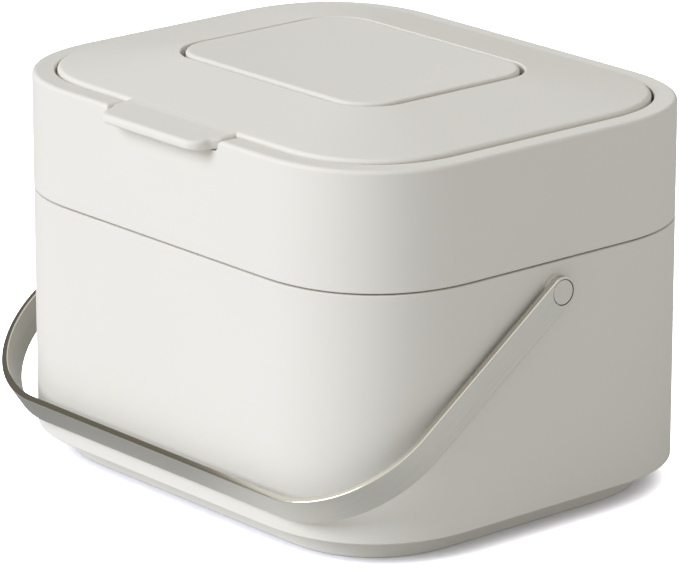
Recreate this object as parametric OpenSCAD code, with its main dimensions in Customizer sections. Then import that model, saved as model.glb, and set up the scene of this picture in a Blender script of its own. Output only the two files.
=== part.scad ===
// Worktop compost caddy: a bucket with a lift-off collar, a hinged vented lid and a strap bail.
// Millimetres. +Z is up, the lift tab and the handle at rest are at the front (-Y).
// The origin is the middle of the bucket's footprint, on the worktop.

/* [Body] */
// Width of the bucket, side to side
body_w = 240; // [200:1:300]
// Depth of the bucket, front to back
body_d = 198; // [170:1:250]
// Height of the rim above the worktop
rim_h = 163; // [150:1:220]
// Radius of the upright corners
corner_r = 59; // [40:1:70]
// Squareness of the upright corners, where 2 is a plain arc
corner_square = 2.28; // [2:0.02:2.6]
// Thickness of the moulded walls
wall = 2.4; // [2:0.1:2.8]
// Height of the seam between bucket and collar
seam_h = 113; // [100:0.5:125]
// Height of the bucket's lower edge above the worktop
skirt_h = 10.8; // [8:0.2:16]
// Radius of that lower edge
skirt_round = 0.8; // [0.4:0.1:1.6]

/* [Plinth] */
// How far the plinth stands in from the wall above it
plinth_in = 12.8; // [8:0.2:18]
// How much further in the plinth is at the worktop
plinth_draft = 1.2; // [0.4:0.1:2.5]

/* [Seam and spigot] */
// Height of the open groove that shows between bucket and collar
groove_h = 0.8; // [0.6:0.1:1.5]
// Radius of the edges on both sides of the groove
groove_round = 0.4; // [0.3:0.1:1]
// Width of the collar's foot that seats on the bucket
seat_w = 1; // [0.6:0.1:1.2]
// Height of the bucket's spigot inside the collar
spigot_h = 11; // [6:0.5:16]
// Thickness of the spigot
spigot_t = 2; // [1.6:0.1:2.6]

/* [Rim] */
// Width of the flat rim around the lid
rim_w = 9; // [8:0.5:11]
// Radius of the rim's outer edge
rim_round = 1.8; // [1:0.1:2.4]
// Width of the ledge under the lid
ledge_w = 3.5; // [2.5:0.1:4.5]
// Thickness of the ledge
ledge_t = 2.2; // [1.6:0.1:3]

/* [Lid] */
// Open gap between lid and rim
lid_gap = 1.2; // [1:0.1:2]
// Height of the lid's edge above the rim
lid_proud = 1.6; // [1:0.1:2.5]
// Radius of the lid's edge
lid_round = 2; // [1:0.1:2.4]
// Height of the opening for the vent cover above the rim
crest_h = 8.7; // [6:0.1:12]
// Radius of the upper edge of that opening
crest_round = 0.5; // [0.4:0.1:1.4]
// Thickness of the lid's skin
lid_skin = 2.2; // [1.8:0.1:2.6]
// Depth of the lid's skirt below the rim
lid_skirt = 7; // [5:0.2:8]

/* [Lift tab] */
// Width of the lift tab
tab_w = 64; // [40:1:80]
// Reach of the tab in front of the bucket
tab_reach = 9; // [6:0.5:12]
// Thickness of the tab
tab_t = 4; // [3:0.1:4.2]
// How far the tab's front edge lies below the rim
tab_drop = 0.3; // [0:0.1:0.6]
// Fall of the tab's top from the lid to that edge
tab_fall = 1.1; // [0:0.1:1.2]
// Radius of the tab's front corners
tab_corner_r = 7; // [3:0.5:8]
// How much wider the tab's root is on each side
tab_flare = 2; // [0.4:0.1:2.4]
// Open gap on each side of the tab's root, in the rim's notch
notch_gap = 0.8; // [0.6:0.1:1.6]
// Radius of the notch's upper edges
notch_round = 2; // [1:0.1:2.2]
// Radius of the notch's lower corners
notch_corner_r = 2.5; // [1:0.1:3]

/* [Vent cover] */
// Width of the vent cover
cover_w = 123; // [100:1:140]
// Depth of the vent cover
cover_d = 93; // [80:1:104]
// Radius of the cover's corners
cover_r = 18; // [12:1:26]
// Open air gap all round the cover
cover_gap = 2.2; // [2:0.1:4]
// Height of the cover above the opening's edge
cover_proud = 0.7; // [0.4:0.1:3]
// Height of the cover's side wall
cover_side = 4.4; // [3.4:0.1:5]
// Thickness of the cover's skin
cover_skin = 2; // [1.6:0.1:2.4]
// Radius of the cover's upper edge
cover_round = 2; // [0.4:0.1:2.2]
// Diameter of the four pegs under the cover
peg_d = 5; // [4:0.1:6]
// Distance of each peg from the cover's two sides
peg_in = 8; // [7:0.5:10]
// Depth of each peg in its socket
peg_grip = 4.5; // [3:0.1:5]
// Wall of the sockets that take the pegs
socket_wall = 2; // [1.6:0.1:2.4]

/* [Filter pocket] */
// Depth of the filter pocket below the opening's edge
pocket_depth = 12; // [11.2:0.1:13]
// Thickness of the carbon filter pad
filter_t = 5; // [4:0.1:5.5]
// Width of one vent slot in the pocket's floor
slot_w = 3; // [2:0.1:4]
// Length of one vent slot
slot_l = 20; // [12:0.5:22]
// Number of slots in a row
slot_count = 11; // [5:1:13]
// Number of rows of slots
slot_rows = 3; // [2:1:3]
// Distance between neighbouring slots, middle to middle
slot_pitch = 8; // [7:0.1:8.4]
// Distance between rows, middle to middle
row_pitch = 26; // [24:0.5:28]

/* [Lid hinge] */
// Distance of each hinge arm from the middle
hinge_x = 45; // [35:1:50]
// Depth of the hinge axis below the rim
hinge_drop = 5.5; // [5.3:0.1:5.8]
// Clearance between the hinge barrels and the wall behind them
hinge_gap = 0.6; // [0.4:0.1:0.8]
// Diameter of the hinge pins
hinge_pin_d = 2; // [1.6:0.1:2.4]
// Radius of the hinge barrels
barrel_r = 2.2; // [2:0.1:2.3]
// Width of the lid's hinge arms
arm_w = 8; // [5:0.5:12]
// Thickness of an arm where it hooks round the rim's flange
arm_t = 3.5; // [2.5:0.1:4]
// Thickness of an arm between its barrel and its hook
web_t = 3.6; // [3:0.1:3.8]
// Clearance between an arm and the flange's edge
arm_gap = 0.8; // [0.5:0.1:1]
// Open gap on both sides of an arm in the collar's slot
arm_side = 0.5; // [0.3:0.1:1]
// Thickness of the collar's hinge lugs
lug_w = 4; // [3:0.5:6]
// Radius of the collar's hinge lugs
lug_r = 2.8; // [2.2:0.1:3]
// Distance in from the lid's rear edge over which it has no skirt
skirt_end = 13.5; // [10:0.5:18]

/* [Handle] */
// Width of the steel strap
strap_w = 13; // [10:0.5:16]
// Thickness of the steel strap
strap_t = 3; // [2.4:0.1:4]
// Length of the handle from its pivots to the outside of the grip
bail_len = 133.2; // [125:0.2:150]
// Outer radius of the handle's two bends
bail_r = 48; // [30:1:60]
// Height of the pivots below the seam
pivot_drop = 11.3; // [10.5:0.1:16]
// How far the pivots sit behind the middle
pivot_back = 2.5; // [0:0.5:6]
// Clearance between the resting handle and the wall
lean_gap = 0.5; // [0.3:0.1:2]

/* [Handle pivots] */
// Diameter of the rivet's flush head
head_d = 10.5; // [9:0.1:11]
// Thickness of the rivet's head
head_t = 1.5; // [1:0.1:1.8]
// Diameter of the rivet's shank
shank_d = 6.2; // [4:0.1:7]
// Thickness of the spacer washer between strap and wall
spacer_t = 1.9; // [1:0.1:3]
// Diameter of the washer inside the bucket
keeper_d = 12; // [11:0.5:14]
// Thickness of the washer inside the bucket
keeper_t = 1.2; // [0.8:0.1:2]
// Diameter of the rivet's closed tail
tail_d = 9; // [8:0.1:10]
// Thickness of the rivet's closed tail
tail_t = 1.8; // [1:0.1:2.5]

/* [Fits] */
// Radial running clearance of pins and pegs
run_fit = 0.05; // [0.03:0.01:0.1]
// Clearance between parts that seat on each other
seat_fit = 0.3; // [0.2:0.05:0.4]
// End play of the handle's strap and of the washers
end_play = 0.1; // [0.05:0.05:0.2]

/* [Smoothness] */
// Steps in each moulded corner
corner_steps = 8; // [4:1:12]

/* [Hidden] */
$fn = 64;

stone = "#dcd9d1";
steel = "#b4b4b0";
nylon = "#d6d2c8";
carbon = "#2b2b2a";
overcut = 5;

// Plinth, spigot and seam
foot_in = plinth_in + plinth_draft;
spigot_in = wall + seat_fit;
collar_foot = seam_h + seat_fit;
groove_top = seam_h + groove_h;

// Lid, from its edge to the pocket
lid_in = rim_w + lid_gap;
skirt_z = rim_h - lid_skirt;
ledge_z = skirt_z - seat_fit;
edge_z = rim_h + lid_proud;
crest_z = rim_h + crest_h;
pocket_z = crest_z - pocket_depth;
floor_t = lid_skin;

// Lift tab
tab_top = rim_h - tab_drop;
tab_base = tab_top - tab_t;
tab_front = body_d / 2 + tab_reach;
notch_floor = tab_base - seat_fit;
root_half = tab_w / 2 + tab_flare;
notch_half = root_half + notch_gap;
notch_height = rim_h - notch_floor;
notch_bend = min(notch_corner_r, notch_height - notch_round - 0.1);

// Vent cover
cover_top = crest_z + cover_proud;
cover_base = cover_top - cover_side;
peg_r = peg_d / 2;
peg_x = cover_w / 2 - peg_in;
peg_y = cover_d / 2 - peg_in;
socket_r = peg_r + run_fit + socket_wall;
peg_end = pocket_z + seat_fit;
socket_top = peg_end + peg_grip;

// Hinge axis, and the hook that carries the lid round the flange's edge
hinge_y = body_d / 2 - wall - hinge_gap - barrel_r;
hinge_z = rim_h - hinge_drop;
pin_r = hinge_pin_d / 2;
hook_in = norm([hinge_y + rim_w - body_d / 2, hinge_drop]) + arm_gap;
hook_out = hook_in + arm_t;
arm_slot = arm_w / 2 + arm_side;

// Handle and its pivots
pivot_y = pivot_back;
pivot_z = seam_h - pivot_drop;
strap_in = body_w / 2 + spacer_t + end_play;
strap_out = strap_in + strap_t;
shank_r = shank_d / 2;
head_in = strap_out - head_t;
keeper_out = body_w / 2 - wall - end_play;
tail_out = keeper_out - keeper_t - end_play;
grip_in = bail_len - strap_t;
grip_reach = norm([grip_in, strap_w / 2]);
grip_tilt = atan2(strap_w / 2, grip_in);
lean = acos((pivot_y + body_d / 2 + lean_gap) / grip_reach) - grip_tilt;

// A quarter of a rounded corner, as points from its +X end to its +Y end
function quarter(r, n) =
    [for (i = [0:corner_steps]) let (t = 90 * i / corner_steps)
        [r * pow(cos(t), 2 / n), r * pow(sin(t), 2 / n)]];

// A rounded rectangle at height z, anticlockwise from above
function ring(half_x, half_y, r, n, z) =
    let (q = quarter(r, n), k = corner_steps, cx = half_x - r, cy = half_y - r)
    concat(
        [for (i = [0:k]) [cx + q[i][0], cy + q[i][1], z]],
        [for (i = [0:k]) [-cx - q[k - i][0], cy + q[k - i][1], z]],
        [for (i = [0:k]) [-cx - q[i][0], -cy - q[i][1], z]],
        [for (i = [0:k]) [cx + q[k - i][0], -cy - q[k - i][1], z]]
    );

// The body's outline, drawn in by a distance
function body_ring(inset, z) =
    ring(body_w / 2 - inset, body_d / 2 - inset, corner_r - inset, corner_square, z);

// The cover's outline, let out by a distance
function cover_ring(out, z) =
    ring(cover_w / 2 + out, cover_d / 2 + out, cover_r + out, 2, z);

// Points [inset, height] of a round between a wall and the level above or below it
function edge_arc(inset, z, r, from, to, steps) =
    [for (i = [0:steps]) let (a = from + (to - from) * i / steps)
        [inset + r - r * cos(a), z + r * sin(a)]];

// A skin through a stack of rings: its ends are capped, or joined where closed is true
module skin(rings, closed = false) {
    n = len(rings[0]);
    m = len(rings);
    last = closed ? m - 1 : m - 2;
    sides = [for (j = [0:last]) for (i = [0:n - 1])
        let (k = (i + 1) % n, a = j * n, b = ((j + 1) % m) * n)
        each [[a + i, b + i, b + k], [a + i, b + k, a + k]]];
    low = [for (i = [0:n - 1]) i];
    high = [for (i = [0:n - 1]) m * n - 1 - i];
    polyhedron(
        points = [for (r = rings) each r],
        faces = closed ? sides : concat(sides, [low, high])
    );
}

// A round bar along X, from x0 to x1
module bar(x0, x1, r, y = 0, z = 0) {
    translate([x0, y, z]) rotate([0, 90, 0]) cylinder(h = x1 - x0, r = r);
}

// A block from one corner to the opposite one
module block(low, high) {
    translate(low) cube(high - low);
}

// The child here and mirrored to the other side
module both_sides() {
    children();
    mirror([1, 0, 0]) children();
}

module bucket() {
    profile = concat(
        edge_arc(foot_in, skirt_round, skirt_round, -90, 0, 2),
        [[plinth_in, skirt_h]],
        edge_arc(0, skirt_h + skirt_round, skirt_round, -90, 0, 3),
        edge_arc(0, seam_h - groove_round, groove_round, 0, 90, 3),
        [[spigot_in, seam_h]],
        edge_arc(spigot_in, seam_h + spigot_h - spigot_t / 2, spigot_t / 2, 0, 180, 4),
        [[spigot_in + spigot_t, seam_h - spigot_t / 2], [wall, seam_h - spigot_in - spigot_t / 2]],
        [[wall, skirt_h + 2 * wall], [2 * wall, skirt_h + wall]],
        [[plinth_in + wall, skirt_h + wall], [foot_in + wall, 2 * wall], [foot_in + 2 * wall, wall]]
    );
    color(stone) difference() {
        skin([for (p = profile) body_ring(p[0], p[1])]);
        both_sides()
            bar(body_w / 2 - 2 * wall, body_w / 2 + 1, shank_r + end_play, pivot_y, pivot_z);
    }
}

// Points [x, z] of a quarter arc about a centre, from one angle to another
function corner_arc(x, z, r, from, to) =
    [for (i = [0:6]) let (a = from + (to - from) * i / 6) [x + r * cos(a), z + r * sin(a)]];

// The cut in the rim that the lift tab lies in, with rounded lower corners and upper edges
module tab_notch() {
    start = rim_w + ledge_w + overcut;
    side = concat(
        corner_arc(notch_half - notch_bend, notch_bend, notch_bend, -90, 0),
        corner_arc(notch_half + notch_round, notch_height - notch_round, notch_round, 180, 90),
        [[notch_half + notch_round, notch_height + overcut]]
    );
    translate([0, start - body_d / 2, notch_floor]) rotate([90, 0, 0])
        linear_extrude(start + overcut)
            polygon(concat(side, [for (i = [len(side) - 1:-1:0]) [-side[i][0], side[i][1]]]));
}

// The two lugs beside the right-hand hinge arm, with the bores for its pin
module hinge_lugs() {
    for (x = [hinge_x - arm_slot - lug_w, hinge_x + arm_slot]) difference() {
        union() {
            bar(x, x + lug_w, lug_r, hinge_y, hinge_z);
            block(
                [x, hinge_y, hinge_z - lug_r],
                [x + lug_w, body_d / 2 - wall / 2, rim_h - wall / 2]
            );
            block(
                [x, hinge_y - lug_r, hinge_z],
                [x + lug_w, hinge_y, rim_h - wall / 2]
            );
        }
        bar(x - 1, x + lug_w + 1, pin_r + run_fit, hinge_y, hinge_z);
    }
}

module collar() {
    profile = concat(
        [[0, groove_top + groove_round]],
        edge_arc(0, rim_h - rim_round, rim_round, 0, 90, 4),
        [[rim_w - groove_round, rim_h], [rim_w, rim_h - groove_round]],
        [[rim_w, ledge_z], [rim_w + ledge_w, ledge_z], [rim_w + ledge_w, ledge_z - ledge_t]],
        [[rim_w - wall, ledge_z - ledge_t], [rim_w - wall, rim_h - wall]],
        [[wall, rim_h - wall], [wall, collar_foot], [wall - seat_w, collar_foot]],
        [[wall - seat_w, groove_top], [groove_round, groove_top]]
    );
    sill_half = notch_half + notch_round + wall;
    slot_start = body_d / 2 - rim_w - ledge_w - overcut;
    color(stone) {
        difference() {
            union() {
                skin([for (p = profile) body_ring(p[0], p[1])], closed = true);
                block(
                    [-sill_half, -body_d / 2 + wall / 2, ledge_z - ledge_t],
                    [sill_half, -body_d / 2 + rim_w - wall / 2, rim_h - wall / 2]
                );
            }
            tab_notch();
            both_sides() block(
                [hinge_x - arm_slot, slot_start, ledge_z - ledge_t - overcut],
                [hinge_x + arm_slot, hinge_y, rim_h - lid_skin]
            );
        }
        both_sides() hinge_lugs();
    }
}

// The four places of the cover's pegs
module at_pegs() {
    for (x = [-peg_x, peg_x], y = [-peg_y, peg_y]) translate([x, y, 0]) children();
}

// The lift tab and the slope that joins it to the lid: its side profile, plan and section
module lift_tab() {
    straight = tab_w / 2 - tab_corner_r;
    bend = -tab_front + tab_corner_r;
    edge_y = -body_d / 2 + lid_in;
    root = edge_y + lid_skin + wall / 2;
    slope_y = edge_y - lid_round;
    flare_y = tab_flare - body_d / 2;
    low_r = notch_bend - seat_fit;
    side = concat(
        corner_arc(root_half - low_r, tab_base + low_r, low_r, -90, 0),
        [[root_half, edge_z]]
    );
    intersection() {
        translate([-tab_w, 0, 0]) rotate([90, 0, 90]) linear_extrude(2 * tab_w) polygon([
            [root, tab_base], [root, edge_z - lid_round / 8], [edge_y, edge_z - lid_round / 8],
            [slope_y, tab_top + tab_fall], [-tab_front, tab_top], [-tab_front - 1, tab_top],
            [-tab_front - 1, tab_base]
        ]);
        translate([0, 0, tab_base - 1]) linear_extrude(edge_z - tab_base + 1) {
            polygon([
                [-root_half, root + 1], [-root_half, flare_y], [-tab_w / 2, bend],
                [tab_w / 2, bend], [root_half, flare_y], [root_half, root + 1]
            ]);
            translate([-straight, -tab_front]) square([2 * straight, tab_corner_r + 1]);
            for (x = [-straight, straight]) translate([x, bend]) circle(tab_corner_r);
        }
        translate([0, root + 1, 0]) rotate([90, 0, 0]) linear_extrude(root + 1 + tab_front)
            polygon(concat(side, [for (i = [len(side) - 1:-1:0]) [-side[i][0], side[i][1]]]));
    }
}

// The right-hand hinge arm: a barrel, a web down from it and a hook up to the lid's rear edge
module hinge_arm() {
    edge_y = hinge_y - body_d / 2 + lid_in + seat_fit;
    difference() {
        translate([hinge_x - arm_w / 2, hinge_y, hinge_z]) rotate([90, 0, 90])
            linear_extrude(arm_w) {
                circle(barrel_r);
                translate([-web_t / 2, -hook_in - arm_t / 2]) square([web_t, hook_in + arm_t / 2]);
                intersection() {
                    difference() {
                        circle(hook_out);
                        circle(hook_in);
                    }
                    union() {
                        translate([-hook_out, -hook_out]) square([hook_out + web_t / 2, hook_out]);
                        translate([-hook_out, -1])
                            square([hook_out - edge_y, 1 + edge_z - lid_skin / 2 - hinge_z]);
                    }
                }
            }
        bar(hinge_x - arm_w, hinge_x + arm_w, pin_r + run_fit, hinge_y, hinge_z);
    }
}

module lid() {
    skirt_in = lid_in + lid_skin;
    shell = concat(
        [cover_ring(cover_gap + lid_skin, pocket_z - floor_t)],
        [cover_ring(cover_gap + lid_skin, crest_z - lid_skin)],
        [for (p = [[skirt_in, edge_z - lid_skin], [skirt_in, skirt_z], [lid_in, skirt_z]])
            body_ring(p[0], p[1])],
        [for (p = edge_arc(lid_in, edge_z - lid_round, lid_round, 0, 90, 4))
            body_ring(p[0], p[1])],
        [for (p = edge_arc(0, crest_z - crest_round, crest_round, 90, 0, 2))
            cover_ring(cover_gap + p[0], p[1])],
        [cover_ring(cover_gap, pocket_z)]
    );
    color(stone) both_sides() hinge_arm();
    color(stone) difference() {
        union() {
            skin(shell);
            lift_tab();
            at_pegs() translate([0, 0, pocket_z - floor_t / 2])
                cylinder(h = socket_top - pocket_z + floor_t / 2, r = socket_r);
        }
        block(
            [-body_w / 2, body_d / 2 - lid_in - skirt_end, skirt_z - overcut],
            [body_w / 2, body_d / 2, edge_z - lid_skin]
        );
        at_pegs() translate([0, 0, pocket_z]) cylinder(h = pocket_depth, r = peg_r + run_fit);
        for (row = [0:slot_rows - 1], i = [0:slot_count - 1]) {
            x = (i - (slot_count - 1) / 2) * slot_pitch;
            y = (row - (slot_rows - 1) / 2) * row_pitch;
            translate([x, y, pocket_z - floor_t / 2])
                cube([slot_w, slot_l, 2 * floor_t], center = true);
        }
    }
}

module vent_cover() {
    shell = concat(
        [for (p = edge_arc(0, cover_top - cover_round, cover_round, 90, 0, 3))
            cover_ring(-p[0], p[1])],
        [cover_ring(0, cover_base), cover_ring(-cover_skin, cover_base)],
        [cover_ring(-cover_skin, cover_top - cover_skin)]
    );
    color(stone) {
        skin([for (i = [len(shell) - 1:-1:0]) shell[i]]);
        at_pegs() translate([0, 0, peg_end])
            cylinder(h = cover_top - cover_skin / 2 - peg_end, r = peg_r);
    }
}

module odour_filter() {
    notch_x = peg_x - socket_r - seat_fit;
    notch_y = peg_y - socket_r - seat_fit;
    color(carbon) translate([0, 0, pocket_z + seat_fit]) linear_extrude(filter_t) intersection() {
        polygon([for (p = cover_ring(cover_gap - seat_fit, 0)) [p[0], p[1]]]);
        union() {
            square([2 * notch_x, body_d], center = true);
            square([body_w, 2 * notch_y], center = true);
        }
    }
}

// The strap's path in the plane of the handle, with the pivots on the X axis
module bail_outline(out, length, r) {
    translate([-out, -length + r]) square([2 * out, length - r]);
    translate([-out + r, -length]) square([2 * (out - r), r]);
    for (side = [-1, 1]) translate([side * (out - r), -length + r]) circle(r);
}

module handle() {
    color(steel) translate([0, pivot_y, pivot_z]) rotate([lean, 0, 0]) difference() {
        union() {
            translate([0, 0, -strap_w / 2]) linear_extrude(strap_w) difference() {
                bail_outline(strap_out, bail_len, bail_r);
                translate([0, strap_t]) bail_outline(strap_in, bail_len, bail_r - strap_t);
            }
            both_sides() bar(strap_in, strap_out, strap_w / 2);
        }
        both_sides() {
            bar(strap_in - 1, strap_out + 1, shank_r + run_fit);
            bar(head_in - end_play, strap_out + 1, head_d / 2 + end_play);
        }
    }
}

// The right-hand rivet: flush head, shank through strap, spacer and wall, and closed tail
module handle_rivet() {
    color(steel) {
        bar(head_in, strap_out, head_d / 2, pivot_y, pivot_z);
        bar(tail_out, head_in, shank_r, pivot_y, pivot_z);
        bar(tail_out - tail_t, tail_out, tail_d / 2, pivot_y, pivot_z);
    }
}

module handle_rivet_left() { mirror([1, 0, 0]) handle_rivet(); }
module handle_rivet_right() { handle_rivet(); }

// A flat washer on the right-hand rivet, from x0 to x1
module washer(x0, x1, r) {
    difference() {
        bar(x0, x1, r, pivot_y, pivot_z);
        bar(x0 - 1, x1 + 1, shank_r + end_play, pivot_y, pivot_z);
    }
}

module spacer_washer() {
    color(nylon) washer(body_w / 2 + end_play / 2, strap_in - end_play / 2, strap_w / 2);
}

module spacer_washer_left() { mirror([1, 0, 0]) spacer_washer(); }
module spacer_washer_right() { spacer_washer(); }

module keeper_washer() { color(steel) washer(keeper_out - keeper_t, keeper_out, keeper_d / 2); }

module keeper_washer_left() { mirror([1, 0, 0]) keeper_washer(); }
module keeper_washer_right() { keeper_washer(); }

// The right-hand hinge pin, just short of the lugs' outer faces
module hinge_pin() {
    reach = arm_slot + lug_w - seat_fit;
    color(steel) bar(hinge_x - reach, hinge_x + reach, pin_r, hinge_y, hinge_z);
}

module hinge_pin_left() { mirror([1, 0, 0]) hinge_pin(); }
module hinge_pin_right() { hinge_pin(); }

bucket();
collar();
lid();
vent_cover();
odour_filter();
handle();
handle_rivet_left();
handle_rivet_right();
spacer_washer_left();
spacer_washer_right();
keeper_washer_left();
keeper_washer_right();
hinge_pin_left();
hinge_pin_right();
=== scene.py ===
"""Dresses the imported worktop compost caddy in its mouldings, brushed strap and felt pad.

Every piece is built in millimetres, in the CAD frame, and turned to metres when it is seated.
+Z is up, and the lift tab and the resting handle face -Y.
"""

import logging
import math
from dataclasses import dataclass, field
from enum import Enum
from functools import cache, partial
from typing import Callable, Iterable, Optional, Sequence

import bmesh
import bpy
from mathutils import Matrix, Vector

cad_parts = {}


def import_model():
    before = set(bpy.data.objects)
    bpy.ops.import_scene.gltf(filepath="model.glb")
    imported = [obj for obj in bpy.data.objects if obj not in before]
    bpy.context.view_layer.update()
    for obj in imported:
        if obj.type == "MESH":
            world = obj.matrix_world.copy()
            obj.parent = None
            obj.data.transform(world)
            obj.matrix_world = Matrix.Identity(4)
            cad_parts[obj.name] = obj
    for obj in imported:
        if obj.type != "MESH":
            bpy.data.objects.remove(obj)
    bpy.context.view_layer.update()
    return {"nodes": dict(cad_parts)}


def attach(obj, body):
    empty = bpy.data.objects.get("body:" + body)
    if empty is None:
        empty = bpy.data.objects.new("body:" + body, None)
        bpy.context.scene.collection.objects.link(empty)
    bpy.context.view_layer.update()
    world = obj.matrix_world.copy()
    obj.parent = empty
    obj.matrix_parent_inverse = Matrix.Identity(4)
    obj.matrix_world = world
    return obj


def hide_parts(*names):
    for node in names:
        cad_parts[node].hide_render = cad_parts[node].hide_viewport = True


Mesh, Node = bpy.types.Mesh, bpy.types.Node
Sockets = bpy.types.bpy_prop_collection
Adder = Callable[..., Node]
Point = tuple[float, float]
Spot = tuple[float, float, float]
Place = tuple[Spot, Spot]

LOG = logging.getLogger("caddy")
MM = 0.001
IMAGE_SIZE = (679, 576)
SHARP_ANGLE = math.radians(34)
# A support point lies this far from a round, and keeps the flat beside it shaded flat
SUPPORT = 0.3
MERGE, DEGENERATE = 1e-4, 1e-5
# A slot's end rounds by a little under half its width, so that it keeps a short flat
SLOT_ROUND = 0.48
# Chords in a quarter turn of a profile: some, and more with the root of its radius
SOME_CHORDS, MORE_CHORDS, LEAST_CHORDS = 4, 3, 3
# First angle, last angle and chords of a circle with 24 corners
CIRCLE = (0, 345, 23)
# Chords in a quarter turn of the strap's eyes and the pivots, the strap's bends, the eased
# edges of the strap and the ends of the vent slots
EYE_CHORDS, BEND_CHORDS, EDGE_CHORDS, SLOT_CHORDS = 24, 40, 5, 5
ZERO, WHITE = (0.0, 0.0, 0.0), (1.0, 1.0, 1.0, 1.0)
RIGHT_ANGLE = math.pi / 2


class Ends(Enum):
    """How the first and last level of a shell are finished."""

    CAPPED = "capped"
    JOINED = "joined"


class Cut(Enum):
    """What is done with a second mesh."""

    ADD = "UNION"
    REMOVE = "DIFFERENCE"


class Side(Enum):
    """A side of the caddy, seen from its front, with the sign of its X."""

    LEFT = -1
    RIGHT = 1


# Node and mesh helpers


def linear(hex_colour: str) -> tuple[float, float, float, float]:
    """Turn an sRGB hex colour into linear light.

    Args:
        hex_colour: A hash and six hex digits.

    Returns:
        Linear red, green and blue, and an alpha of 1.
    """
    parts = [int(hex_colour[i : i + 2], 16) / 255 for i in (1, 3, 5)]
    light = [p / 12.92 if p <= 0.04045 else ((p + 0.055) / 1.055) ** 2.4 for p in parts]
    return (light[0], light[1], light[2], 1.0)


def add_node(
    tree: bpy.types.NodeTree, kind: str, inputs: Optional[dict] = None, **settings: object
) -> Node:
    """Add a node with its settings, and link or set its inputs.

    Args:
        tree: The tree that the node goes in.
        kind: The node's type name.
        inputs: Input, by name or number, to a value, an output, a node, which stands for its
            first output, or a list of nodes.
        **settings: Properties of the node itself.

    Returns:
        The new node.
    """
    node = tree.nodes.new(kind)
    for name, value in settings.items():
        setattr(node, name, value)
    for key, value in (inputs or {}).items():
        for given in value if isinstance(value, list) else [value]:
            source = given.outputs[0] if isinstance(given, Node) else given
            if isinstance(source, bpy.types.NodeSocket):
                tree.links.new(source, node.inputs[key])
            else:
                node.inputs[key].default_value = source
    return node


def new_material(name: str, shader: Callable[[Adder], Node]) -> bpy.types.Material:
    """Make a material.

    Args:
        name: Its name.
        shader: Lays out its nodes and gives the last one.

    Returns:
        The material.
    """
    made = bpy.data.materials.new(name)
    made.use_nodes = True
    made.node_tree.nodes.clear()
    add = partial(add_node, made.node_tree)
    add("ShaderNodeOutputMaterial", {0: shader(add)})
    return made


def linked(data: bpy.types.ID) -> bpy.types.Object:
    """Put a mesh, a lamp or a camera in the scene.

    Args:
        data: What is put there.

    Returns:
        Its object, under the same name.
    """
    thing = bpy.data.objects.new(data.name, data)
    bpy.context.scene.collection.objects.link(thing)
    return thing


def settled(thing: bpy.types.Object) -> Mesh:
    """Take an object's mesh with its modifiers applied, and remove the object.

    Args:
        thing: The object.

    Returns:
        A plain mesh.
    """
    bpy.context.view_layer.update()
    seen = thing.evaluated_get(bpy.context.evaluated_depsgraph_get())
    mesh = bpy.data.meshes.new_from_object(seen)
    bpy.data.objects.remove(thing)
    return mesh


def cut(mesh: Mesh, tool: Mesh, how: Cut) -> Mesh:
    """Join a closed mesh to another, or take it away from it.

    Args:
        mesh: The mesh that is kept.
        tool: The mesh that is added or taken away.
        how: Which of the two.

    Returns:
        The new mesh.
    """
    kept, other = linked(mesh), linked(tool)
    modifier = kept.modifiers.new("cut", "BOOLEAN")
    modifier.solver = "MANIFOLD"
    modifier.operation = how.value
    modifier.object = other
    made = settled(kept)
    bpy.data.objects.remove(other)
    return made


def mesh_of(name: str, points: Sequence, faces: Sequence) -> Mesh:
    """Make a mesh.

    Args:
        name: Its name.
        points: Its points.
        faces: The points of each face.

    Returns:
        The mesh.
    """
    mesh = bpy.data.meshes.new(name)
    mesh.from_pydata([tuple(p) for p in points], [], [tuple(f) for f in faces])
    mesh.update()
    return mesh


def tidied(mesh: Mesh) -> Mesh:
    """Merge a mesh's double points and drop what has no area.

    Args:
        mesh: The mesh.

    Returns:
        The same mesh.
    """
    work = bmesh.new()
    work.from_mesh(mesh)
    bmesh.ops.remove_doubles(work, verts=work.verts, dist=MERGE)
    bmesh.ops.dissolve_degenerate(work, edges=work.edges, dist=DEGENERATE)
    work.to_mesh(mesh)
    work.free()
    return mesh


def prism(outline: Sequence[Point], start: float, end: float) -> Mesh:
    """Extrude an outline along X.

    Args:
        outline: Points (y, z), anticlockwise seen from +X.
        start: The lower X.
        end: The higher X.

    Returns:
        A closed mesh.
    """
    n = len(outline)
    points = [(x, y, z) for x in (start, end) for y, z in outline]
    sides = [(i, (i + 1) % n, n + (i + 1) % n, n + i) for i in range(n)]
    return mesh_of("prism", points, [tuple(range(n))[::-1], tuple(range(n, 2 * n)), *sides])


def block(low: Sequence[float], high: Sequence[float]) -> Mesh:
    """A box from one corner to the opposite one."""
    outline = [(low[1], low[2]), (high[1], low[2]), (high[1], high[2]), (low[1], high[2])]
    return prism(outline, low[0], high[0])


def arc(centre: Point, radius: float, start: float, end: float, steps: int) -> list[Point]:
    """Set points on an arc.

    Args:
        centre: Its centre.
        radius: Its radius.
        start: The first angle, in degrees.
        end: The last angle, in degrees.
        steps: The number of chords.

    Returns:
        The points from start to end.
    """
    turn = [math.radians(start + (end - start) * i / steps) for i in range(steps + 1)]
    return [(centre[0] + radius * math.cos(t), centre[1] + radius * math.sin(t)) for t in turn]


def both(mesh: Mesh, across: Spot = (1, 0, 0)) -> list[Mesh]:
    """Give a mesh its twin across a plane through the origin.

    Args:
        mesh: The mesh.
        across: The plane's normal.

    Returns:
        The mesh and its twin.
    """
    twin = mesh.copy()
    twin.transform(Matrix.Scale(-1, 4, Vector(across)))
    twin.flip_normals()
    return [mesh, twin]


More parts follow.
